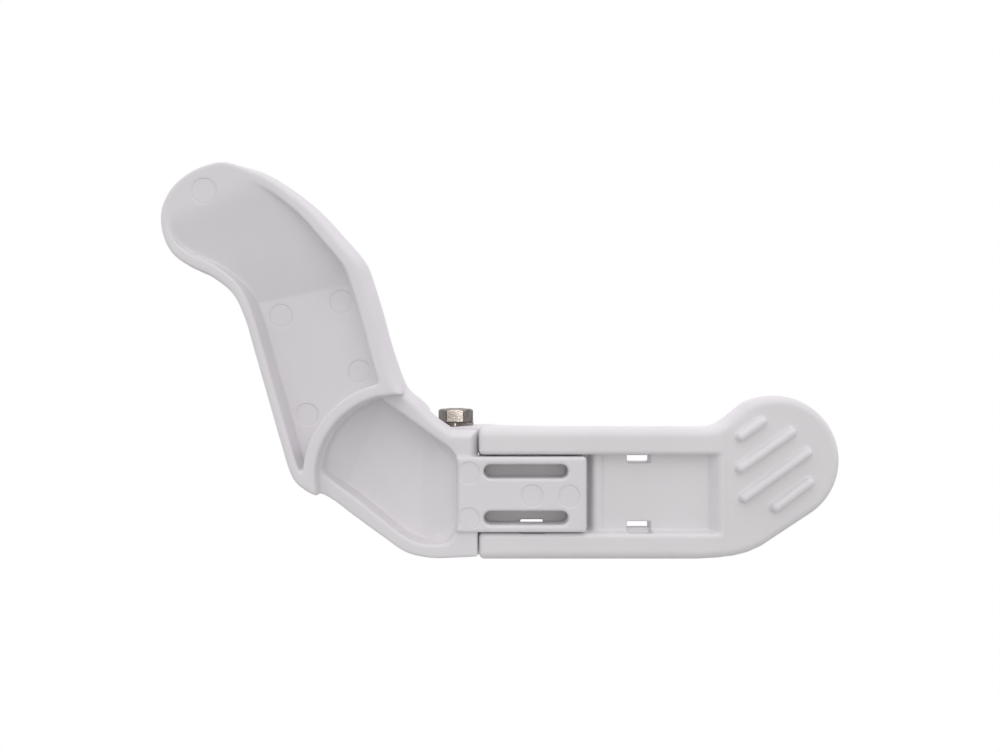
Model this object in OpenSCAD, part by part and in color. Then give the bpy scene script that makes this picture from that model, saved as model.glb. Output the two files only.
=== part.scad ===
/* [Arm] */
// Height of the arm's rim in front of the tongue's flat face
arm_rim = 3.5; // [2.5:0.5:4.5]
// Mean thickness of the arm's side walls
arm_wall = 3.6; // [3.2:0.2:4]
// Shift of the arm's hollow towards its left-hand wall, which makes that wall the thinner
hollow_shift = 1.2; // [0.8:0.2:1.4]
// Distance from the tongue's flat face to the front skin
body_depth = 9.6; // [9:0.2:10.4]
// Distance from the tongue's flat face to the elbow and lever floors
floor_depth = 7; // [6.8:0.1:7.4]
// Distance from the tongue's flat face to the floor of the arm's hollow
arm_floor = 3.2; // [2.4:0.2:3.8]
// Thickness of the skin in front of the arm's floor
arm_skin = 2.6; // [2.2:0.2:3]
// Thickness of the arm at its closed tip
tip_t = 5.4; // [4.6:0.2:6]

/* [Elbow] */
// Inner radius of the curved rib, which clears a round gate plate
rib_r = 20.5; // [19.5:0.5:21]
// Thickness of the curved rib
rib_t = 3.2; // [2.6:0.2:3.6]
// Setback of the elbow's rim behind the tongue's flat face
elbow_rim = 1; // [0.6:0.2:1.4]

/* [Mounting tongue] */
// Length of the tongue past the origin
tongue_reach = 15.1; // [13:0.1:15.1]
// Width of the tongue
tongue_w = 18.8; // [18:0.2:18.8]
// Thickness of the tongue
tongue_t = 5.4; // [4.6:0.2:5.4]
// Length of each adjustment slot
slot_len = 21.1; // [16:0.1:22]
// Width of each adjustment slot
slot_w = 3.5; // [3:0.1:4.2]
// Distance between the two slots
slot_pitch = 11.6; // [9:0.2:12]

/* [Lever] */
// Overall width across the lever's side walls
lever_w = 33.2; // [32.6:0.2:34]
// Depth of the raised part of the lever's floor
raised_depth = 4.5; // [4:0.1:5.5]
// Radius of the thumb pad
pad_r = 16.3; // [15.5:0.2:17.1]
// Thickness of the thumb pad
pad_t = 5.4; // [4.6:0.2:6]
// Width of each raised grip rib
grip_w = 2.3; // [1.8:0.1:2.8]
// Height of each raised grip rib
grip_h = 1.5; // [1:0.1:1.7]

/* [Pivot] */
// Diameter of the pivot bolt
bolt_d = 5; // [4:0.1:5]
// Distance across the flats of the bolt head and nut
hex_af = 8; // [7:0.1:8]
// Height of the bolt head
head_h = 3.5; // [3:0.1:4]
// Outside diameter of the pivot sleeve
sleeve_d = 7; // [6.6:0.1:7]
// Outside diameter of each bush
bush_d = 8.4; // [8:0.1:8.6]
// Wire diameter of the torsion spring
wire_d = 0.9; // [0.7:0.1:1]

/* [Hidden] */
$fn = 96;

pivot_x = -18.2;
pivot_y = 11.5;
hub_r = 5.4;
hub_half = 9.4;
spring_half = 4.2;
ear_r = 5;
ear_in = 9.8;
cavity_r = 5.4;
shell_r = 6.8;
shell_half = 15.8;
running_gap = 0.03;
thin_x = -24.5;
shoulder_x = -12.1;
shoulder_t = 4.2;
rib_c = [-31.1, 4.5];
lever_half = lever_w / 2;
lever_x = -11.8;
lever_rim = 1;
channel_half = 9.9;
channel_end = 46.4;
step_x0 = 16.6;
step_x1 = 19.3;
lip_h = 0.6;
window_in = 7.5;
window_out = 10.6;
window_l = 6;
window_x = [-1.3, 25.9];
tab_y = [8.2, 6];
tab_in = [8.6, 9.2];
pad_c = [62.9, 8.35];
grip_angle = 35.4;
grip_pitch = 6.5;
hex_r = hex_af / 2 / cos(30);
hex_turn = -20;
washer_t = 0.9;
nut_h = 4.2;
white = [0.86, 0.86, 0.86];
steel = [0.62, 0.62, 0.64];
nylon = [0.8, 0.78, 0.72];

// Corner points of the arm and elbow, from the shoulder round the tip and back
arm_keys = [
    [-18.5, 16.4], [-23, 19.6], [-26.4, 23.2], [-30.4, 26.9], [-33, 33.9], [-35.8, 44.5],
    [-38.2, 52.4], [-40.5, 58.3], [-46, 65], [-51.5, 71.2], [-57.5, 76.2], [-64, 80.2],
    [-70, 82], [-76, 82], [-82, 79.8], [-86.8, 75.8], [-89.4, 70.5], [-89.3, 65],
    [-87, 59.8], [-82.5, 56.3], [-77.2, 53.8], [-72, 49.6], [-69, 43.5], [-66.8, 36],
    [-62.5, 21], [-60.2, 13], [-57.6, 5], [-54.2, 1.5], [-49, -1.1], [-42, -6.2],
    [-35.8, -10.7], [-30, -14.6], [-24, -16], [-18.5, -16]
];

// Point between b and c on the smooth curve through a, b, c and d
function spline(a, b, c, d, t) =
    0.5 * (2 * b + (c - a) * t + (2 * a - 5 * b + 4 * c - d) * t * t
        + (3 * b - a - 3 * c + d) * t * t * t);

// Smooth open curve through the key points
function smooth(p, n) = [
    for (i = [0 : len(p) - 2]) for (k = [0 : n - 1])
        spline(p[max(i - 1, 0)], p[i], p[i + 1], p[min(i + 2, len(p) - 1)], k / n),
    p[len(p) - 1]
];

function unit(v) = v / norm(v);

// Curve moved sideways by d, to its left as it runs
function shifted(p, d) = [
    for (i = [0 : len(p) - 1])
        let (u = unit(p[min(i + 1, len(p) - 1)] - p[max(i - 1, 0)])) p[i] + d * [-u[1], u[0]]
];

// Points along an arc about c from angle a0 to a1
function arc(c, r, a0, a1, n) =
    [for (i = [0 : n]) let (a = a0 + (a1 - a0) * i / n) c + r * [cos(a), sin(a)]];

body_curve = smooth(arm_keys, 4);
body_outline = concat([[shoulder_x, -15.7], [shoulder_x, 16]], body_curve);
arm_edge = shifted(body_curve, arm_wall);
arm_inner = [for (i = [8 : 108]) arm_edge[i] - [hollow_shift, 0]];

// Flat shape in the X-Z plane, thickened from depth y0 to depth y1
module slab(y0, y1) {
    translate([0, y1, 0]) rotate([90, 0, 0]) linear_extrude(y1 - y0) children();
}

// Flat shape in the X-Y plane, thickened from height z0 to height z1
module level(z0, z1) {
    translate([0, 0, z0]) linear_extrude(z1 - z0) children();
}

// Round bar along Z on the pivot axis
module pivot_rod(r, z0, z1) {
    translate([pivot_x, pivot_y, z0]) cylinder(r = r, h = z1 - z0);
}

// Block from its low corner to its high corner
module block(lo, hi) {
    translate(lo) cube(hi - lo);
}

// Round bar along Y at plan position c
module boss(c, r, y0, y1) {
    translate([c[0], y1, c[1]]) rotate([90, 0, 0]) cylinder(r = r, h = y1 - y0);
}

// Side profile swept across the arm, square to the slope of its floor.
// Each profile point is [depth, distance up the arm].
module across_arm(profile) {
    rotate([0, -17.5, 0]) translate([-130, 0, 0]) rotate([90, 0, 90]) linear_extrude(180)
        polygon(profile);
}

thin_start = 32;
thin_end = 48;
crease = 65;
tip_edge = 92;
clear = 30;
hollow_profile = [
    [-clear, -2 * clear], [arm_floor, -2 * clear], [arm_floor, crease],
    [-arm_rim, tip_edge], [-clear, tip_edge]
];
front_profile = [
    [body_depth, thin_start], [arm_floor + arm_skin, thin_end], [arm_floor + arm_skin, crease],
    [tip_t - arm_rim, tip_edge], [tip_t - arm_rim, tip_edge + clear],
    [clear, tip_edge + clear], [clear, thin_start]
];

// Profile drawn out along the straight line from a to b.
// Each profile point is [depth, distance to the left of the line].
module along(a, b, profile) {
    run = b - a;
    translate([a[0], 0, a[1]]) rotate([0, -atan2(run[1], run[0]), 0]) translate([-1, 0, 0])
        rotate([90, 0, 90]) linear_extrude(norm(run) + 2) polygon(profile);
}

// The elbow's floor rises from a crease towards the curved rib
rise_run = 20;
rise = 5;
rise_from = [-50.7, -7];
rise_to = [-31.2, 33];
rise_profile = [
    [floor_depth, 0], [floor_depth - rise, rise_run], [floor_depth + 1, rise_run], [floor_depth + 1, 0]
];

module arm_hollow() {
    difference() {
        intersection() {
            slab(-10, arm_floor) polygon(concat(arm_inner, [rib_c]));
            across_arm(hollow_profile);
        }
        boss(rib_c, rib_r + rib_t, -12, 12);
        block([-38, -12, -30], [0, 12, 30]);
        block([-60, -12, -30], [0, 12, 6]);
    }
}

module elbow_pocket() {
    difference() {
        intersection() {
            boss(rib_c, rib_r, -6, floor_depth);
            slab(-6, floor_depth) polygon([
                [-60, 12], [-49, 3.4], [-31.5, -9.6], [-26, -12.6], [shoulder_x, -12.8],
                [shoulder_x, 12], [-19.6, 12], [-35.6, 23.6], [-38, 40], [-60, 40]
            ]);
            block([-60, -6, -20], [-17.4, 12, 40]);
        }
        pivot_rod(shell_r, -20, 20);
        along(rise_from, rise_to, rise_profile);
    }
}

module hub() {
    pivot_rod(hub_r, -hub_half, hub_half);
    block([-23.6, 2, -hub_half], [-13, pivot_y, hub_half]);
}

module slot(z) {
    straight = (slot_len - slot_w) / 2;
    block([-straight, -2, z - slot_w / 2], [straight, 8, z + slot_w / 2]);
    for (x = [-straight, straight]) boss([x, z], slot_w / 2, -2, 8);
}

module latch_body() {
    color(white) difference() {
        union() {
            difference() {
                slab(elbow_rim, body_depth) polygon(body_outline);
                block([thin_x, elbow_rim + shoulder_t, -30], [0, 30, 30]);
            }
            difference() {
                slab(-arm_rim, elbow_rim + 0.5) polygon(body_outline);
                boss(rib_c, rib_r, -12, 12);
                block([-30.2, -12, -30], [0, 12, 40]);
            }
            intersection() {
                union() {
                    pivot_rod(shell_r, -shell_half, shell_half);
                    block([thin_x - 1, shoulder_t, -shell_half], [pivot_x, body_depth, shell_half]);
                }
                block([thin_x - 2, elbow_rim, -shell_half - 1], [pivot_x, body_depth, shell_half + 1]);
            }
            block([-24, 0, -tongue_w / 2], [tongue_reach, tongue_t, tongue_w / 2]);
            hub();
        }
        arm_hollow();
        elbow_pocket();
        across_arm(front_profile);
        for (s = [-1, 1]) {
            translate([0, 0, s * (hub_half + 10)]) pivot_rod(cavity_r, -10, 10);
            slot(s * slot_pitch / 2);
        }
        pivot_rod(bush_d / 2, -12, 12);
        pivot_rod(cavity_r + 0.2, -spring_half, spring_half);
        block([pivot_x, pivot_y - 5.6, -spring_half], [-12, 20, spring_half]);
    }
}

// Outline of the lever from above its flat back
lever_outline = concat(
    [[-30, -lever_half], [43, -lever_half], [48.5, -16.3], [52.5, -15.9], [56, -15], [59.4, -13.5]],
    arc(pad_c, pad_r, -54, 118, 40),
    [[53.3, 21], [51, 19], [49, 17.6], [47, 16.8], [44.5, lever_half], [-30, lever_half]]
);

// Side view of the lever, from the ears round the pad and back along the front
lever_side = concat(
    [[lever_x, lever_rim], [90, lever_rim]],
    smooth([
        [90, pad_t + 1], [70, pad_t + 1.1], [58, pad_t + 1.6], [46, 9], [30, 9.8], [10, 10.2],
        [0, 11.6], [-7, 14.8], [-12, 16.4], [pivot_x, pivot_y + ear_r]
    ], 4),
    [[pivot_x, pivot_y - ear_r], [lever_x, pivot_y - ear_r]]
);

module grip_rib(i) {
    mid = [62.6, 5.8] + grip_pitch * (1.5 - i) * [-sin(grip_angle), cos(grip_angle)];
    half = [6.2, 9.2, 7.4, 2.6][i];
    shift = [-2.1, -0.2, -0.8, 0.8][i];
    translate([mid[0], 0, mid[1]]) rotate([0, -grip_angle, 0]) translate([-shift, 0, 0]) {
        block([-half, lever_rim - grip_h, -grip_w / 2], [half, lever_rim + 1, grip_w / 2]);
        for (x = [-half, half]) boss([x, 0], grip_w / 2, lever_rim - grip_h, lever_rim + 1);
    }
}

module channel() {
    top = -2;
    level(-channel_half, channel_half)
        polygon([
            [-40, top], [channel_end + raised_depth - top, top], [channel_end, raised_depth],
            [step_x1 + 0.3, raised_depth],
            [step_x1, raised_depth - lip_h], [step_x0 + 1.2, raised_depth - lip_h],
            [step_x0 + 0.2, raised_depth + 0.6], [step_x0, floor_depth],
            [lever_x - 0.2, floor_depth], [lever_x - 0.2, 30], [-40, 30]
        ]);
}

module release_lever() {
    color(white) difference() {
        union() {
            intersection() {
                slab(-1, 20) polygon(lever_outline);
                level(-30, 30) polygon(lever_side);
            }
            pivot_rod(ear_r, -lever_half, lever_half);
            for (i = [0 : 3]) grip_rib(i);
        }
        channel();
        pivot_rod(hub_r + 0.8, -ear_in, ear_in);
        pivot_rod(bolt_d / 2 + 0.1, -30, 30);
        translate([pivot_x, pivot_y, -lever_half - 1]) rotate([0, 0, hex_turn])
            cylinder(r = hex_r + 0.1, h = nut_h + 1, $fn = 6);
        for (x = window_x) for (s = [0, 1]) mirror([0, 0, s])
            block([x, 2, window_in], [x + window_l, 16, window_out]);
        block([-12.5, 12.4, -3.9], [-7.6, 14.6, 3.9]);
    }
    color(white) for (i = [0, 1]) for (s = [0, 1]) mirror([0, 0, s])
        block([window_x[i], tab_y[i], tab_in[i]], [window_x[i] + window_l, tab_y[i] + 1.9, window_out + 0.3]);
}

module pivot_bolt() {
    color(steel) {
        pivot_rod(bolt_d / 2, -lever_half + 0.2, lever_half + washer_t + 0.5);
        translate([pivot_x, pivot_y, lever_half + washer_t]) cylinder(r = hex_r, h = head_h, $fn = 6);
    }
}

module ring(ro, ri, z0, z1) {
    difference() {
        pivot_rod(ro, z0, z1);
        pivot_rod(ri, z0 - 1, z1 + 1);
    }
}

module head_washer() {
    color(steel) ring(4.7, bolt_d / 2 + 0.1, lever_half, lever_half + washer_t);
}

module lock_nut() {
    color(steel) difference() {
        translate([pivot_x, pivot_y, -lever_half]) rotate([0, 0, hex_turn])
            cylinder(r = hex_r, h = nut_h, $fn = 6);
        pivot_rod(bolt_d / 2 + 0.02, -30, 0);
        pivot_rod(3.3, -30, -lever_half + 1.2);
    }
}

module nut_insert() {
    color(nylon) ring(3.28, bolt_d / 2 + 0.02, -lever_half + 0.1, -lever_half + 1.2);
}

module pivot_sleeve() {
    color(steel) ring(sleeve_d / 2, bolt_d / 2 + 0.05, -ear_in, ear_in);
}

module upper_bush() {
    color(nylon) ring(bush_d / 2, sleeve_d / 2 + running_gap, spring_half + 0.1, hub_half);
}

module lower_bush() {
    color(nylon) ring(bush_d / 2, sleeve_d / 2 + running_gap, -hub_half, -spring_half - 0.1);
}

// Centre line of the spring wire: fixed leg, coils, then the leg that pushes the lever
coil_r = 4.5;
coil_turns = 5.5;
coil_half = 3.1;
spring_path = concat(
    [[-9, 6.2, -coil_half], [-13.5, 6.25, -coil_half], [-16.2, 6.7, -coil_half]],
    [for (i = [0 : 84]) let (a = -90 - 360 * coil_turns * i / 84)
        [pivot_x + coil_r * cos(a), pivot_y + coil_r * sin(a), -coil_half + 2 * coil_half * i / 84]],
    [[-15.8, 15.6, coil_half], [-13.6, 14.2, coil_half], [-12, 13.5, coil_half], [-8.4, 13.5, coil_half]]
);

// Round tube swept along a path
module tube(path, r, sides) {
    n = len(path);
    rings = [for (i = [0 : n - 1])
        let (t = unit(path[min(i + 1, n - 1)] - path[max(i - 1, 0)]), u = unit(cross([0, 0, 1], t)),
            v = cross(t, u))
        for (k = [0 : sides - 1]) path[i] + r * (cos(360 * k / sides) * u + sin(360 * k / sides) * v)];
    faces = concat(
        [[for (k = [sides - 1 : -1 : 0]) k]],
        [for (i = [0 : n - 2]) for (k = [0 : sides - 1])
            let (a = i * sides, b = a + sides, m = (k + 1) % sides) [a + k, a + m, b + m, b + k]],
        [[for (k = [0 : sides - 1]) (n - 1) * sides + k]]
    );
    polyhedron(rings, [for (f = faces) [for (k = [len(f) - 1 : -1 : 0]) f[k]]]);
}

module torsion_spring() {
    color(steel) tube(spring_path, wire_d / 2, 8);
}

latch_body();
release_lever();
pivot_bolt();
head_washer();
lock_nut();
nut_insert();
pivot_sleeve();
upper_bush();
lower_bush();
torsion_spring();
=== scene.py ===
import math

import bpy
import numpy as np
import openvdb
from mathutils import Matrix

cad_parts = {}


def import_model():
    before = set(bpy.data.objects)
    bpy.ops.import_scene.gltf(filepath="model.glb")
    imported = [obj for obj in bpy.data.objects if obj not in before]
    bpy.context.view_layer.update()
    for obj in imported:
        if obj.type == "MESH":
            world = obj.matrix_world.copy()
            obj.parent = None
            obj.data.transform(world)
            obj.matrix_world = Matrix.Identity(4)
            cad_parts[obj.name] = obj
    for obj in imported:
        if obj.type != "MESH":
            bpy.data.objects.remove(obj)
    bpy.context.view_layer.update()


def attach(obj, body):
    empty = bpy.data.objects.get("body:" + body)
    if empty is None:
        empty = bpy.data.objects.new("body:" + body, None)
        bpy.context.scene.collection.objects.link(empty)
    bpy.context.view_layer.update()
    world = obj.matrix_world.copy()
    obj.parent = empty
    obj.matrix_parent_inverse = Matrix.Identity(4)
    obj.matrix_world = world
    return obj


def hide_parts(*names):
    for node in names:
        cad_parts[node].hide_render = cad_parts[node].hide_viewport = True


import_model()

# Lengths below are millimetres in the shared frame. X runs along the lever, Y is depth away
# from the gate, Z is up. Solids are signed distance fields: negative inside.

MM = 0.001

# Pivot axis, upright along Z
PIVOT_X, PIVOT_Y = -18.2, 11.5
# Depth of the elbow's floor and of the lever's floor behind the tongue's flat face
DEEP_FLOOR = 7
# Half the height of the lever, and half the gap between its ears
LEVER_HALF, EAR_GAP = 16.6, 9.8
# Rounding of the long edges on the front side
FRONT_EDGE = 2.2


# ---------------------------------------------------------------- distance fields

def cross(a, b, r=0.0):
    """Intersection of two fields, with its outer edges rounded to radius r."""
    u, v = np.maximum(a + r, 0), np.maximum(b + r, 0)
    return np.minimum(np.maximum(a, b), -r) + np.sqrt(u * u + v * v)


def join(a, b, r=0.0):
    """Union of two fields, with its inner corners filled to radius r."""
    return -cross(-a, -b, r)


def cut(a, b, r=0.0):
    """a without b."""
    return cross(a, -b, r)


def ramp(t):
    """Smooth step from 0 to 1."""
    t = np.clip(t, 0, 1)
    return t * t * (3 - 2 * t)


def smooth(keys, n):
    """Points along the smooth curve through the keys."""
    p = np.array(keys, float)
    out = []
    for i in range(len(p) - 1):
        a, b, c, d = p[max(i - 1, 0)], p[i], p[i + 1], p[min(i + 2, len(p) - 1)]
        for k in range(n):
            t = k / n
            out.append(0.5 * (2 * b + (c - a) * t + (2 * a - 5 * b + 4 * c - d) * t**2
                              + (3 * b - a - 3 * c + d) * t**3))
    out.append(p[-1])
    return np.array(out)


def outline(px, pz, pts):
    """Signed distance in the X-Z plane to a closed outline."""
    pts = np.array(pts, float)
    best = np.full(np.broadcast(px, pz).shape, 1e9)
    inside = np.zeros(best.shape, bool)
    for (ax, az), (bx, bz) in zip(pts, np.roll(pts, -1, axis=0)):
        ex, ez = bx - ax, bz - az
        wx, wz = px - ax, pz - az
        t = np.clip((wx * ex + wz * ez) / max(ex * ex + ez * ez, 1e-9), 0, 1)
        best = np.minimum(best, (wx - ex * t) ** 2 + (wz - ez * t) ** 2)
        if az != bz:
            over = (az > pz) != (bz > pz)
            inside ^= over & (px < ax + (pz - az) * ex / ez)
    return np.where(inside, -1, 1) * np.sqrt(best)


def box(x, y, z, lo, hi, r=0.0):
    """Box with rounded edges."""
    out = None
    for c, a, b in zip((x, y, z), lo, hi):
        d = np.abs(c - (a + b) / 2) - (b - a) / 2
        out = d if out is None else cross(out, d, r)
    return out


def bar(px, pz, ax, az, bx, bz):
    """Distance in the plane to a straight segment."""
    ex, ez = bx - ax, bz - az
    t = np.clip(((px - ax) * ex + (pz - az) * ez) / (ex * ex + ez * ez), 0, 1)
    return np.sqrt((px - ax - ex * t) ** 2 + (pz - az - ez * t) ** 2)


def radial(u, v, cu, cv):
    """Distance in a plane from a centre."""
    return np.sqrt((u - cu) ** 2 + (v - cv) ** 2)


def lattice(lo, hi, step):
    """Sample places along the three axes, ready to broadcast into a block."""
    axes = [np.arange(a, b + step, step) for a, b in zip(lo, hi)]
    return axes[0][:, None, None], axes[1][None, :, None], axes[2][None, None, :]


# ---------------------------------------------------------------- meshes

def probe(field, p):
    """Field value at each point p, given in cells."""
    top = np.array(field.shape) - 1.001
    p = np.clip(p, 0, top)
    i = p.astype(int)
    f = p - i
    out = np.zeros(len(p))
    for cx in (0, 1):
        for cy in (0, 1):
            for cz in (0, 1):
                w = np.abs(1 - cx - f[:, 0]) * np.abs(1 - cy - f[:, 1]) * np.abs(1 - cz - f[:, 2])
                out += w * field[i[:, 0] + cx, i[:, 1] + cy, i[:, 2] + cz]
    return out


def slope(field, p):
    """Unit normal of the field at each point p, given in cells."""
    g = np.stack([probe(field, p + d) - probe(field, p - d) for d in 0.6 * np.eye(3)], axis=1)
    return g / np.maximum(np.linalg.norm(g, axis=1, keepdims=True), 1e-9)


def skin(name, field, lo, step, material, body, nodes):
    """Mesh of a field's zero surface, riding on a body in place of CAD nodes."""
    field = np.ascontiguousarray(field, dtype=np.float32)
    band = 3 * step
    vol = openvdb.FloatGrid(band)
    vol.copyFromArray(np.clip(field, -band, band))
    pts, quads = vol.convertToQuads(0.0)
    pts, quads = np.array(pts, float), np.array(quads, int)
    for _ in range(3):
        n = slope(field, pts)
        pts -= n * np.clip(probe(field, pts) / step, -0.4, 0.4)[:, None] * 0.9
    n = slope(field, pts)
    a, b, c = pts[quads[:, 0]], pts[quads[:, 1]], pts[quads[:, 2]]
    facing = np.sum(np.cross(b - a, c - a) * n[quads[:, 0]], axis=1)
    if np.sum(facing < 0) > np.sum(facing > 0):
        quads = quads[:, ::-1]
    pts = (pts * step + np.array(lo)) * MM
    mesh = bpy.data.meshes.new(name)
    mesh.from_pydata(pts.tolist(), [], quads.tolist())
    mesh.validate()
    mesh.shade_smooth()
    if len(mesh.vertices) == len(n):
        mesh.normals_split_custom_set_from_vertices(n.tolist())
    obj = bpy.data.objects.new(name, mesh)
    bpy.context.scene.collection.objects.link(obj)
    mesh.materials.append(material)
    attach(obj, body)
    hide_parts(*nodes)


# ---------------------------------------------------------------- materials

def nodes_of(name):
    """New material, its node tree and its shader."""
    mat = bpy.data.materials.new(name)
    mat.use_nodes = True
    tree = mat.node_tree
    return mat, tree, tree.nodes["Principled BSDF"]


def noise(tree, scale, detail, stretch=None):
    """Noise in the object's own space, stretched along an axis for drawn metal."""
    coord = tree.nodes.new("ShaderNodeTexCoord")
    tex = tree.nodes.new("ShaderNodeTexNoise")
    tex.inputs["Scale"].default_value = scale
    tex.inputs["Detail"].default_value = detail
    source = coord.outputs["Object"]
    if stretch:
        mapping = tree.nodes.new("ShaderNodeMapping")
        mapping.inputs["Scale"].default_value = stretch
        tree.links.new(source, mapping.inputs["Vector"])
        source = mapping.outputs["Vector"]
    tree.links.new(source, tex.inputs["Vector"])
    return tex.outputs["Fac"]


def spread(tree, value, low, high):
    """The middle of a noise's range, spread from low to high."""
    node = tree.nodes.new("ShaderNodeMapRange")
    node.inputs["From Min"].default_value = 0.3
    node.inputs["From Max"].default_value = 0.7
    node.inputs["To Min"].default_value = low
    node.inputs["To Max"].default_value = high
    tree.links.new(value, node.inputs["Value"])
    return node.outputs["Result"]


def tint(tree, value, low, high):
    """Colour between low and high."""
    node = tree.nodes.new("ShaderNodeMix")
    node.data_type = "RGBA"
    node.inputs["A"].default_value = (*low, 1)
    node.inputs["B"].default_value = (*high, 1)
    tree.links.new(value, node.inputs["Factor"])
    return node.outputs["Result"]


def rough_surface(tree, shader, grain, distance, under=None):
    """Fine grain on the shader's normal, over another normal if there is one."""
    bump = tree.nodes.new("ShaderNodeBump")
    bump.inputs["Strength"].default_value = 0.35
    bump.inputs["Distance"].default_value = distance
    tree.links.new(grain, bump.inputs["Height"])
    if under:
        tree.links.new(under, bump.inputs["Normal"])
    tree.links.new(bump.outputs["Normal"], shader.inputs["Normal"])


def maths(tree, operation, a, b):
    """Math node on two numbers or sockets."""
    node = tree.nodes.new("ShaderNodeMath")
    node.operation = operation
    for socket, v in zip(node.inputs, (a, b)):
        if isinstance(v, (int, float)):
            socket.default_value = v
        else:
            tree.links.new(v, socket)
    return node.outputs["Value"]


# Round ejector-pin marks on the body: x, y, z and radius
MARKS = [
    (-78.7, -3.5, 74.7, 3.0), (-61.9, 3.2, 44.8, 2.8), (-46.7, 3.2, 48.4, 2.8),
    (-42.1, 3.2, 30.8, 2.7), (-55.4, 3.2, 19.8, 2.7), (-14.2, 0, 5.5, 2.6),
    (-14.2, 0, -5.95, 2.6), (1.5, 0, -0.2, 2.6), (10.8, 0, -0.35, 2.6),
]
# How far the marks are pressed in, and the width of their edge
MARK_DEPTH, MARK_EDGE = 0.14, 0.6
# Depth counts double in the distance to a mark, so that other floors stay clear of it
MARK_STRETCH = 2


def pin_marks(tree):
    """Normal with a shallow round groove at each ejector-pin mark."""
    coord = tree.nodes.new("ShaderNodeTexCoord")
    flat = tree.nodes.new("ShaderNodeVectorMath")
    flat.operation = "MULTIPLY"
    flat.inputs[1].default_value = (1, MARK_STRETCH, 1)
    tree.links.new(coord.outputs["Object"], flat.inputs[0])
    nearest = 9.0
    for x, y, z, r in MARKS:
        gap = tree.nodes.new("ShaderNodeVectorMath")
        gap.operation = "DISTANCE"
        gap.inputs[1].default_value = (x * MM, y * MARK_STRETCH * MM, z * MM)
        tree.links.new(flat.outputs["Vector"], gap.inputs[0])
        in_radii = maths(tree, "MULTIPLY", gap.outputs["Value"], 1 / (r * MM))
        nearest = maths(tree, "MINIMUM", nearest, in_radii)
    groove = tree.nodes.new("ShaderNodeMapRange")
    groove.interpolation_type = "SMOOTHSTEP"
    groove.inputs["From Min"].default_value = 0.0
    groove.inputs["From Max"].default_value = 0.09
    off_edge = maths(tree, "ABSOLUTE", maths(tree, "SUBTRACT", nearest, 1), 0)
    tree.links.new(off_edge, groove.inputs["Value"])
    bump = tree.nodes.new("ShaderNodeBump")
    bump.inputs["Strength"].default_value = 1.0
    bump.inputs["Distance"].default_value = 0.00008
    tree.links.new(groove.outputs["Result"], bump.inputs["Height"])
    return bump.outputs["Normal"]


def plastic(name, low, high, rough, marked=False):
    """Satin moulded plastic: faint flow clouding, fine spark texture, uneven sheen."""
    mat, tree, shader = nodes_of(name)
    cloud = spread(tree, noise(tree, 38, 3), 0, 1)
    tree.links.new(tint(tree, cloud, low, high), shader.inputs["Base Color"])
    sheen = spread(tree, noise(tree, 210, 4), rough - 0.05, rough + 0.06)
    tree.links.new(sheen, shader.inputs["Roughness"])
    rough_surface(tree, shader, noise(tree, 2600, 3), 0.00003, pin_marks(tree) if marked else None)
    shader.inputs["IOR"].default_value = 1.45
    shader.inputs["Subsurface Weight"].default_value = 0.08
    shader.inputs["Subsurface Radius"].default_value = (0.002, 0.002, 0.0018)
    shader.inputs["Subsurface Scale"].default_value = 1.0
    return mat


def metal(name, low, high, rough, stretch):
    """Plated or drawn steel: fine drawing lines and patchy polish."""
    mat, tree, shader = nodes_of(name)
    shader.inputs["Metallic"].default_value = 1.0
    lines = noise(tree, 900, 3, stretch)
    cloud = spread(tree, noise(tree, 300, 3), 0, 1)
    tree.links.new(tint(tree, cloud, low, high), shader.inputs["Base Color"])
    tree.links.new(spread(tree, lines, rough - 0.05, rough + 0.1), shader.inputs["Roughness"])
    rough_surface(tree, shader, lines, 0.00002)
    return mat


body_white = plastic("body_white", (0.75, 0.735, 0.755), (0.795, 0.78, 0.8), 0.4, True)
lever_white = plastic("lever_white", (0.755, 0.74, 0.755), (0.8, 0.785, 0.8), 0.38)
natural_nylon = plastic("natural_nylon", (0.62, 0.58, 0.48), (0.7, 0.66, 0.57), 0.45)
nickel = metal("nickel", (0.22, 0.2, 0.18), (0.32, 0.29, 0.27), 0.11, (1, 1, 6))
drawn_steel = metal("drawn_steel", (0.38, 0.38, 0.39), (0.52, 0.52, 0.53), 0.3, (1, 1, 0.15))


# ---------------------------------------------------------------- latch body

# Rib between the arm and the elbow: centre, inner radius and thickness
RIB_X, RIB_Z, RIB_R, RIB_T = -31.1, 4.5, 20.5, 3.2
# Depths along Y, where the tongue's flat face is at 0
ARM_RIM, ELBOW_RIM = -3.5, 1
ARM_FLOOR, BODY_FRONT = 3.2, 9.6
# The front skin comes back by these much up the arm and again at its tip
BEND_DROP, TIP_DROP = 3.8, 3.9
# Mean thickness of the arm's walls, and the shift of its hollow to the left
ARM_WALL, HOLLOW_SHIFT = 3.6, 1.2
# Tongue: end, half height, and thickness
TONGUE_END, TONGUE_HALF, TONGUE_T = 15.1, 9.4, 5.4
# Tongue's slots: reach to each side, height above the middle, and half width
SLOT_REACH, SLOT_Z, SLOT_R = 8.8, 5.8, 1.75
# Radii round the pivot: hub between the lever's ears, wall of its housing, bush seat, and spring room
HUB_R, HOUSING_R, BUSH_SEAT_R, SPRING_ROOM_R = 5.4, 6.8, 4.2, 5.6
# Half the height of the spring's room
SPRING_ROOM_HALF = 4.2
# Half the height of the housing
HOUSING_HALF = 15.4

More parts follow.
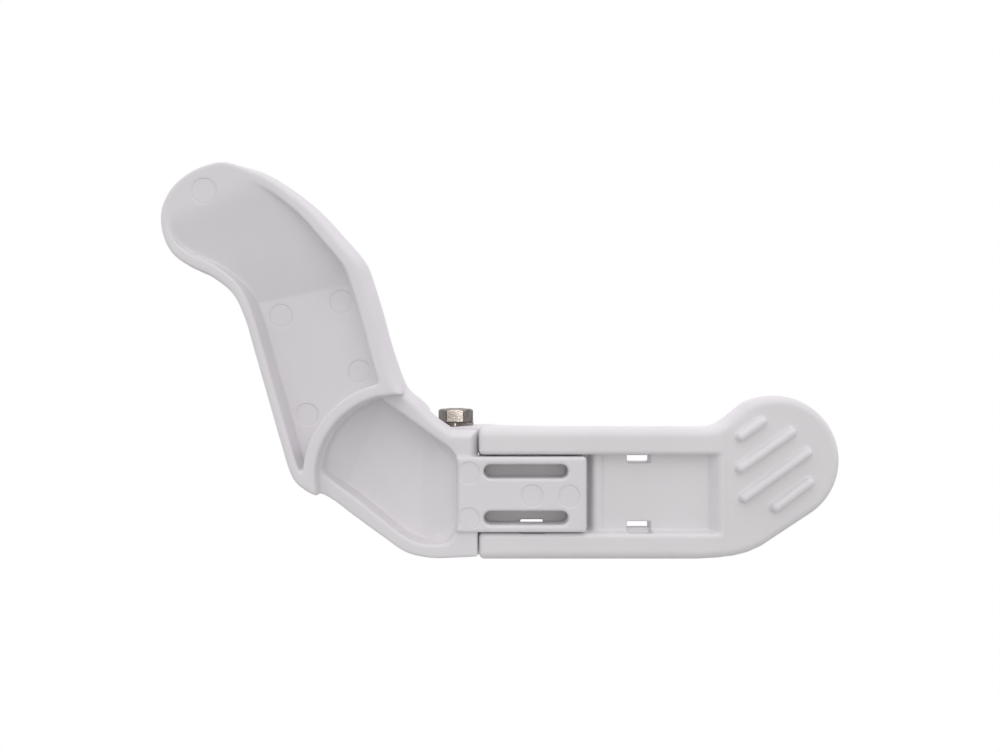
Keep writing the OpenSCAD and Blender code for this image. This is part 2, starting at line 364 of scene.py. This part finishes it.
# Side of the arm and the elbow, from the top of the tongue round to its underside
ARM = [
    (-18.5, 16.4), (-23, 19.6), (-26.4, 23.2), (-30.4, 26.9), (-33, 33.9), (-35.8, 44.5),
    (-38.2, 52.4), (-40.5, 58.3), (-46, 65), (-51.5, 71.2), (-57.5, 76.2), (-64, 80.2),
    (-70, 82), (-76, 82), (-82, 79.8), (-86.8, 75.8), (-89.4, 70.5), (-89.3, 65),
    (-87, 59.8), (-82.5, 56.3), (-77.2, 53.8), (-72, 49.6), (-69, 43.5), (-66.8, 36),
    (-62.5, 21), (-60.2, 13), (-57.6, 5), (-54.2, 1.5), (-49, -1.1), (-42, -6.2),
    (-35.8, -10.7), (-30, -14.6), (-24, -16), (-18.5, -16),
]
ARM_FOOT = [(-12.1, -15.7), (-12.1, 16)]

# Side of the elbow's pocket. The rib closes it on the left.
POCKET = [
    (-60, 12), (-50.2, 4.8), (-47.5, 2.6), (-41, -2.15), (-31.5, -9.9), (-28.4, -11.7),
    (-26, -12.5), (-14, -12.9), (-14, 8.2), (-19.7, 11.9), (-35.5, 23.3), (-38, 40), (-60, 40),
]


def line_side(x, z, ax, az, bx, bz):
    """Distance to the left of the line from a to b."""
    n = math.hypot(bx - ax, bz - az)
    return ((bx - ax) * (z - az) - (bz - az) * (x - ax)) / n


def arm_floor(x, z):
    """Depth of the arm's floor, flat and then sloping up to the tip, and how far up the slope."""
    above = line_side(x, z, -67.7, 47.9, -45.2, 52.8)
    below = -line_side(x, z, -85.5, 68.4, -68.2, 75.7)
    t = np.clip(above / np.maximum(above + below, 5), 0, 1.25)
    return ARM_FLOOR - (ARM_FLOOR - ARM_RIM) * t, t


def arm_and_elbow(x, y, z, side, ring, tip):
    """The arm stands proud of the elbow, down to the rib. Both are solid here."""
    right = ramp((2 - line_side(x, z, -48, 0, -74, 84)) / 8)
    draw_in = (0.2 + 1.6 * right) * np.clip((z + 4) / 8, 0, 1)
    arm = cross(side + draw_in * np.clip((3 - y) / 6.5, 0, 1) ** 1.5, ARM_RIM - y, 0.7)
    elbow = cross(side + draw_in * np.clip((5 - y) / 4, 0, 1) ** 1.5, ELBOW_RIM - y, 0.6)
    past_rib = join(ring - RIB_R, cross(-30.6 - x, z - 30, 0.5), 0.3)
    solid = join(cut(arm, past_rib, 0.6), elbow, 0.4)
    up_arm = 0.954 * z - 0.301 * x
    front = BODY_FRONT - BEND_DROP * ramp((up_arm - 30) / 20) - TIP_DROP * ramp(tip)
    return cross(solid, y - front, FRONT_EDGE)


def knuckle_and_tongue(solid, x, y, z, axle):
    """Adds the housing round the pivot, the tongue, and the hub between the lever's ears."""
    solid = cut(solid, cross(-24.5 - x, 5.2 - y, 0.5), 0.5)
    shell = box(x, y, z, (-26.5, 1.6, -HOUSING_HALF), (PIVOT_X, 9.5, HOUSING_HALF), 0.4)
    behind = box(x, y, z, (-26, 4.4, -HOUSING_HALF), (PIVOT_X, 9.5, HOUSING_HALF), 0.2)
    housing = join(cross(axle - HOUSING_R, shell, 0.3), behind, 0.5)
    solid = join(solid, housing, 0.4)
    tongue = box(x, y, z, (-24, 0, -TONGUE_HALF), (TONGUE_END, TONGUE_T, TONGUE_HALF), 0.7)
    solid = join(solid, tongue, 0.25)
    block = box(x, y, z, (-23.6, 2, -TONGUE_HALF), (-13, PIVOT_Y, TONGUE_HALF), 0.3)
    hub = join(cross(axle - HUB_R, np.abs(z) - TONGUE_HALF, 0.4), block, 0.5)
    return join(solid, hub, 0.4)


def hollow_arm(solid, x, y, z, sides, ring, floor):
    """Cuts the arm's hollow, between its side walls and the rib."""
    inner = outline(x + HOLLOW_SHIFT, z, sides) + ARM_WALL
    depth = y - ARM_RIM
    hollow = cross(inner + 0.04 * depth, RIB_R + RIB_T - ring + 0.06 * depth, 1.0)
    return cut(solid, cross(hollow, y - floor, 0.6), 0.55)


def hollow_elbow(solid, x, y, z, ring, axle):
    """Cuts the elbow's pocket, whose floor rises to the left of a crease."""
    crease = line_side(x, z, -46.3, 2.0, -36.5, 22.1)
    wall = outline(x, z, POCKET) + 0.04 * (y - ELBOW_RIM)
    pocket = cross(wall, ring - RIB_R + 0.05 * (y - ARM_RIM), 0.8)
    pocket = cross(pocket, y - DEEP_FLOOR + 0.28 * np.clip(crease, 0, None), 0.6)
    pocket = cross(cut(pocket, axle - HOUSING_R, 3.0), x + 17.1, 2.6)
    return cut(solid, pocket, 0.7)


def make_body(step):
    lo, hi = (-92, -5.5, -18.5), (17.5, 18.5, 84.5)
    x, y, z = lattice(lo, hi, step)
    sides = list(smooth(ARM, 8)) + ARM_FOOT
    ring = radial(x, z, RIB_X, RIB_Z)
    axle = radial(x, y, PIVOT_X, PIVOT_Y)
    floor, tip = arm_floor(x, z)
    solid = arm_and_elbow(x, y, z, outline(x, z, sides), ring, tip)
    solid = knuckle_and_tongue(solid, x, y, z, axle)
    solid = hollow_arm(solid, x, y, z, sides, ring, floor)
    solid = hollow_elbow(solid, x, y, z, ring, axle)

    for sign in (-1, 1):
        ear_room = cross(axle - HUB_R, np.abs(z - sign * 19.4) - 10, 0.2)
        solid = cut(solid, ear_room, 0.2)
        slot = bar(x, z, -SLOT_REACH, sign * SLOT_Z, SLOT_REACH, sign * SLOT_Z) - SLOT_R
        solid = cut(solid, slot, 0.55)
    for mx, my, mz, r in MARKS:
        off = radial(x, z, mx, mz)
        pressed = my + MARK_DEPTH * ramp((r - off) / MARK_EDGE + 0.5)
        pit = np.maximum(np.maximum(off - r - 0.5, y - pressed), my - 0.8 - y)
        solid = cut(solid, pit)

    solid = cut(solid, axle - BUSH_SEAT_R, 0.25)
    solid = cut(solid, cross(axle - SPRING_ROOM_R, np.abs(z) - SPRING_ROOM_HALF, 0.1), 0.2)
    mouth = box(x, y, z, (PIVOT_X, 5.9, -SPRING_ROOM_HALF), (-10, 22, SPRING_ROOM_HALF), 0.1)
    solid = cut(solid, mouth, 0.2)
    skin("latch_body_moulding", solid, lo, step, body_white, "body", ["latch_body"])


# ---------------------------------------------------------------- release lever

# Thumb pad: centre and radius, and the angles between which its edge is round
PAD_X, PAD_Z, PAD_R = 62.9, 8.35, 16.3
PAD_ARC = (-54, 118)
LEVER_RIM, PAD_STEP = 1, 0.35
CHANNEL_HALF, CHANNEL_END = 9.9, 46.6
# Depth of the channel's floor past the tongue, and the lip at the top of the step up to it
RAISED_FLOOR, STEP_LIP = 4.5, 0.6
EAR_R, HUB_ROOM_R, LEVER_BORE_R = 5, 6.2, 2.6

# The lever's edge below and above the thumb pad
LOWER_EDGE = [
    (-30, -LEVER_HALF), (43, -LEVER_HALF), (48.5, -16.3), (52.5, -15.9), (56, -15), (59.4, -13.5),
]
UPPER_EDGE = [
    (53.3, 21), (51, 19), (49, 17.6), (47, 16.8), (44.5, LEVER_HALF), (-30, LEVER_HALF),
]
# The lever's front side: depth along X, thick at the pivot and thin at the pad
FRONT_PROFILE = [
    (-40, 16.5), (-18.2, 16.5), (-12, 16.4), (-7, 14.8), (0, 11.6), (10, 10.2), (30, 9.8),
    (46, 9), (58, 7), (70, 6.5), (90, 6.4),
]
# Grip ribs on the thumb pad: both ends of each, and their half width
GRIPS = [
    (53.7, 14.5, 58.95, 18.25), (53.6, 6.6, 66.3, 15.55),
    (54.5, -0.8, 70.25, 10.5), (62.35, -3.15, 70.8, 3.1),
]
GRIP_HALF = 1.2
# Window pairs in the channel: left end, depth of the tab behind, and the tab's inner side
WINDOWS = [(-1.3, 8.2, 8.6), (25.9, 6.0, 9.2)]
WINDOW_LENGTH, TAB_T = 6, 1.9


def arc(cx, cz, r, a0, a1, n):
    """Points along an arc, with its angles in degrees."""
    a = np.radians(np.linspace(a0, a1, n))
    return [(cx + r * math.cos(t), cz + r * math.sin(t)) for t in a]


def lever_outside(x, y, z, axle):
    """The lever without its channel: arm, thumb pad and ears."""
    edge = outline(x, z, LOWER_EDGE + arc(PAD_X, PAD_Z, PAD_R, *PAD_ARC, 60) + UPPER_EDGE)
    curve = smooth(FRONT_PROFILE, 6)
    front = np.interp(x, curve[:, 0], curve[:, 1])
    solid = cross(edge, LEVER_RIM + PAD_STEP * ramp((x - 48.9) / 1.8) - y, 2.4)
    solid = cross(solid, y - front, FRONT_EDGE)
    solid = cross(solid, -11.8 - x, 1.4)
    web = box(x, y, z, (PIVOT_X, 6.5, -LEVER_HALF), (-8, 16.45, LEVER_HALF), 0.8)
    ears = join(cross(axle - EAR_R, np.abs(z) - LEVER_HALF, 0.7), web, 0.3)
    return join(solid, ears, 0.6)


def channel(x, y, z):
    """The U-shaped channel: deep under the tongue, a round step up past it, a sloping far end."""
    rise = np.sqrt(1 - np.clip((18.2 - x) / 1.7, 0, 1) ** 2)
    floor = DEEP_FLOOR - (DEEP_FLOOR - RAISED_FLOOR + STEP_LIP) * rise + STEP_LIP * ramp((x - 19.2) / 0.6)
    far_end = 0.85 * (x - CHANNEL_END - 0.62 * (RAISED_FLOOR - y))
    well = cross(np.abs(z) - CHANNEL_HALF, far_end, 0.6)
    return cross(well + 0.04 * (y - LEVER_RIM), y - floor, 0.5)


def make_lever(step):
    lo, hi = (-25, -1.5, -18), (80.5, 18, 26.5)
    x, y, z = lattice(lo, hi, step)
    axle = radial(x, y, PIVOT_X, PIVOT_Y)
    solid = cut(lever_outside(x, y, z, axle), channel(x, y, z), 1.0)
    solid = cut(solid, box(x, y, z, (-30, -5, -EAR_GAP), (-11.9, 30, EAR_GAP), 0.2), 0.4)
    solid = cut(solid, cross(axle - HUB_ROOM_R, np.abs(z) - EAR_GAP, 0.1), 0.3)
    spring_notch = box(x, y, z, (-12.5, 12.4, -3.9), (-7.6, 14.6, 3.9), 0.2)
    solid = cut(solid, spring_notch, 0.2)
    for wx, deep, inner in WINDOWS:
        hole = box(x, y, np.abs(z), (wx, 2, 7.5), (wx + WINDOW_LENGTH, 18, 10.6), 0.25)
        solid = cut(solid, hole, 0.25)
        tab_lo, tab_hi = (wx - 0.5, deep, inner), (wx + WINDOW_LENGTH + 0.5, deep + TAB_T, 12)
        solid = join(solid, box(x, y, np.abs(z), tab_lo, tab_hi, 0.3), 0.1)
    for ax, az, bx, bz in GRIPS:
        length = bar(x, z, ax, az, bx, bz)
        rib = cross(length - GRIP_HALF - 0.15 * (y - LEVER_RIM), -0.5 - y, 0.9)
        solid = join(solid, cross(rib, y - 3), 0.35)
    solid = cut(solid, axle - LEVER_BORE_R, 0.15)
    recess = np.maximum.reduce(hex_sides(x, y, HEX_HALF + 0.1, NUT_TURN))
    recess = np.maximum(np.maximum(recess, axle - 4.35), z + LEVER_HALF - NUT_H)
    solid = cut(solid, recess, 0.1)
    skin("release_lever_moulding", solid, lo, step, lever_white, "lever",
         ["release_lever"])


# ---------------------------------------------------------------- fasteners and spring

# Hexagon of the head and the nut: half its width across flats, and the turn of each in degrees
HEX_HALF, HEAD_TURN, NUT_TURN = 4.0, 30, 10
HEAD_H, NUT_H, WASHER_T = 3.5, 4.2, 0.9
BOLT_R, THREAD_PITCH = 2.5, 0.8
# Slope of the cone that takes off a hexagon's corners, and the length that makes it a distance
CONE_SLOPE, CONE_LENGTH = 1.6, 1.9


def hex_sides(x, y, half, turn):
    """A hexagon round the pivot's axis, as one field for each of its three pairs of flats."""
    u, v = x - PIVOT_X, y - PIVOT_Y
    angles = [math.radians(turn + 60 * k) for k in range(3)]
    return [np.abs(u * math.cos(a) + v * math.sin(a)) - half for a in angles]


def hexagon(x, y, turn):
    a, b, c = hex_sides(x, y, HEX_HALF, turn)
    return cross(cross(a, b, 0.12), c, 0.12)


def cone(axle, radius, rise):
    """Cone round the pivot's axis, with the given radius where the rise is 0."""
    return (axle - radius + rise * CONE_SLOPE) / CONE_LENGTH


def make_bolt(step):
    lo, hi = (-23.4, 6.3, -17.3), (-13, 16.7, 21.6)
    x, y, z = lattice(lo, hi, step)
    axle = radial(x, y, PIVOT_X, PIVOT_Y)
    base = LEVER_HALF + WASHER_T
    top = base + HEAD_H
    head = cross(hexagon(x, y, HEAD_TURN), np.abs(z - (base + top) / 2) - (top - base) / 2, 0.15)
    head = cross(head, cone(axle, 4.1, z - top + 0.12), 0.1)
    head = cross(head, cone(axle, 4.5, base - z), 0.1)
    dish = cross(axle - 2.6, top - 0.25 - z, 0.1)
    head = cut(head, dish, 0.15)
    angle = np.arctan2(y - PIVOT_Y, x - PIVOT_X) / (2 * math.pi)
    phase = np.mod(z / THREAD_PITCH - angle, 1.0)
    thread = 0.42 * np.abs(phase - 0.5) * ramp(-6.0 - z)
    shank = cross(axle - BOLT_R + thread, np.maximum(-LEVER_HALF + 0.2 - z, z - base - 0.4), 0.3)
    solid = join(head, shank, 0.1)
    skin("pivot_bolt_turned", solid, lo, step, nickel, "lever", ["pivot_bolt"])


def make_nut(step):
    lo, hi = (-23.4, 6.3, -17.2), (-13, 16.7, -11.8)
    x, y, z = lattice(lo, hi, step)
    axle = radial(x, y, PIVOT_X, PIVOT_Y)
    up = z + LEVER_HALF
    nut = cross(hexagon(x, y, NUT_TURN), np.abs(up - NUT_H / 2) - NUT_H / 2, 0.12)
    nut = cross(nut, cone(axle, 4.1, -up), 0.1)
    nut = cut(nut, axle - 2.52, 0.15)
    insert_seat = cross(axle - 3.3, up - 1.2, 0.05)
    nut = cut(nut, insert_seat, 0.1)
    skin("lock_nut_turned", nut, lo, step, nickel, "lever", ["lock_nut"])


# Torsion spring: half its height, radius, turns, and radius of the wire
COIL_HALF, COIL_R, COIL_TURNS, WIRE_R = 3.1, 4.5, 5.5, 0.45
# X and Y along the leg in the body, and along the leg in the lever
BODY_LEG = [(-9, 6.2), (-11.5, 6.2), (-13.5, 6.25), (-15.2, 6.45), (-16.6, 6.75)]
LEVER_LEG = [
    (-16.9, 15.9), (-15.6, 15.5), (-14.6, 14.9), (-13.6, 14.2), (-12.8, 13.75),
    (-12, 13.55), (-10, 13.5), (-8.4, 13.5),
]


def make_spring():
    """The wire as a bevelled curve, turned into a mesh."""
    pts = [(px, py, -COIL_HALF) for px, py in BODY_LEG]
    n = 260
    for i in range(n + 1):
        a = math.radians(-90 - 360 * COIL_TURNS * i / n)
        px, py = PIVOT_X + COIL_R * math.cos(a), PIVOT_Y + COIL_R * math.sin(a)
        pts.append((px, py, -COIL_HALF + 2 * COIL_HALF * i / n))
    pts += [(px, py, COIL_HALF) for px, py in LEVER_LEG]
    curve = bpy.data.curves.new("torsion_spring_wire", "CURVE")
    curve.dimensions = "3D"
    curve.bevel_depth = WIRE_R * MM
    curve.bevel_resolution = 4
    curve.use_fill_caps = True
    spline = curve.splines.new("POLY")
    spline.points.add(len(pts) - 1)
    for point, p in zip(spline.points, pts):
        point.co = (p[0] * MM, p[1] * MM, p[2] * MM, 1)
    source = bpy.data.objects.new("torsion_spring_path", curve)
    bpy.context.scene.collection.objects.link(source)
    graph = bpy.context.evaluated_depsgraph_get()
    mesh = bpy.data.meshes.new_from_object(source.evaluated_get(graph))
    bpy.data.objects.remove(source)
    obj = bpy.data.objects.new("torsion_spring_wire", mesh)
    bpy.context.scene.collection.objects.link(obj)
    mesh.shade_smooth()
    mesh.materials.clear()
    mesh.materials.append(drawn_steel)
    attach(obj, "body")
    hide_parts("torsion_spring")


make_body(0.45)
make_lever(0.4)
make_bolt(0.13)
make_nut(0.14)
make_spring()

PLAIN_PIECES = {
    "head_washer": nickel,
    "pivot_sleeve": drawn_steel,
    "nut_insert": natural_nylon,
    "upper_bush": natural_nylon,
    "lower_bush": natural_nylon,
}
for node, mat in PLAIN_PIECES.items():
    obj = bpy.data.objects[node]
    obj.data.materials.clear()
    obj.data.materials.append(mat)


# ---------------------------------------------------------------- stage, light and camera

# Lengths in this section are metres.
FLOOR_HALF, FLOOR_Z = 4.0, -0.16
CAMERA_AT = (-0.0065, -0.179, 0.0296)
CARD_AT, CARD_SIZE = (-0.0212, -0.185, 0.0085), (0.002, 0.02)
LOOK_ALONG_Y = (math.pi / 2, 0, 0)


def stage():
    """Pale floor that the camera sees as white and that lights the object less."""
    mat = bpy.data.materials.new("pale_floor")
    mat.use_nodes = True
    tree = mat.node_tree
    tree.nodes.clear()
    out = tree.nodes.new("ShaderNodeOutputMaterial")
    glow = tree.nodes.new("ShaderNodeEmission")
    glow.inputs["Color"].default_value = (1, 1, 1, 1)
    path = tree.nodes.new("ShaderNodeLightPath")
    level = tree.nodes.new("ShaderNodeMapRange")
    level.inputs["To Min"].default_value = 0.52
    level.inputs["To Max"].default_value = 1.0
    tree.links.new(path.outputs["Is Camera Ray"], level.inputs["Value"])
    tree.links.new(level.outputs["Result"], glow.inputs["Strength"])
    tree.links.new(glow.outputs["Emission"], out.inputs["Surface"])
    mesh = bpy.data.meshes.new("floor")
    s, h = FLOOR_HALF, FLOOR_Z
    mesh.from_pydata([(-s, -s, h), (s, -s, h), (s, s, h), (-s, s, h)], [], [(0, 1, 2, 3)])
    floor = bpy.data.objects.new("floor", mesh)
    mesh.materials.append(mat)
    bpy.context.scene.collection.objects.link(floor)


def world():
    """Soft light, strongest from behind and above, with plain white for the camera."""
    w = bpy.data.worlds.new("studio")
    bpy.context.scene.world = w
    w.use_nodes = True
    tree = w.node_tree
    tree.nodes.clear()
    out = tree.nodes.new("ShaderNodeOutputWorld")
    coord = tree.nodes.new("ShaderNodeTexCoord")
    lean = tree.nodes.new("ShaderNodeVectorMath")
    lean.operation = "DOT_PRODUCT"
    lean.inputs[1].default_value = (0, 0.85, 0.53)
    tree.links.new(coord.outputs["Generated"], lean.inputs[0])
    near = tree.nodes.new("ShaderNodeMapRange")
    near.inputs["From Min"].default_value = -0.95
    near.inputs["From Max"].default_value = 0.1
    near.inputs["To Min"].default_value = 0.06
    near.inputs["To Max"].default_value = 1.0
    tree.links.new(lean.outputs["Value"], near.inputs["Value"])
    soft = tree.nodes.new("ShaderNodeBackground")
    soft.inputs["Color"].default_value = (0.985, 0.96, 1.0, 1)
    tree.links.new(near.outputs["Result"], soft.inputs["Strength"])
    plain = tree.nodes.new("ShaderNodeBackground")
    plain.inputs["Color"].default_value = (1, 1, 1, 1)
    plain.inputs["Strength"].default_value = 1.0
    path = tree.nodes.new("ShaderNodeLightPath")
    mix = tree.nodes.new("ShaderNodeMixShader")
    tree.links.new(path.outputs["Is Camera Ray"], mix.inputs["Fac"])
    tree.links.new(soft.outputs["Background"], mix.inputs[1])
    tree.links.new(plain.outputs["Background"], mix.inputs[2])
    tree.links.new(mix.outputs["Shader"], out.inputs["Surface"])


def lamp(name, aim, angle, strength, colour):
    """Soft sun that shines along aim."""
    light = bpy.data.lights.new(name, "SUN")
    light.angle = math.radians(angle)
    light.energy = strength
    light.color = colour
    obj = bpy.data.objects.new(name, light)
    x, y, z = np.array(aim) / np.linalg.norm(aim)
    obj.rotation_euler = (math.acos(-z), 0, math.atan2(y, x) - math.pi / 2)
    bpy.context.scene.collection.objects.link(obj)


def card():
    """Small bright card behind the camera, mirrored in the bolt's head."""
    light = bpy.data.lights.new("card", "AREA")
    light.shape = "RECTANGLE"
    light.size, light.size_y = CARD_SIZE
    light.energy = 0.003
    obj = bpy.data.objects.new("card", light)
    obj.location = CARD_AT
    obj.rotation_euler = LOOK_ALONG_Y
    bpy.context.scene.collection.objects.link(obj)


def camera():
    data = bpy.data.cameras.new("camera")
    data.sensor_width = 36
    data.lens = 25.92
    data.clip_start = 0.01
    obj = bpy.data.objects.new("camera", data)
    obj.location = CAMERA_AT
    obj.rotation_euler = LOOK_ALONG_Y
    bpy.context.scene.collection.objects.link(obj)
    bpy.context.scene.camera = obj


stage()
world()
lamp("soft_key", (0.0, 1, -0.85), 70, 0.75, (1.0, 1.0, 0.98))
lamp("front_fill", (0.03, 1, -0.08), 14, 0.22, (1.0, 0.96, 0.92))
card()
camera()
bpy.context.scene.view_settings.view_transform = "Standard"
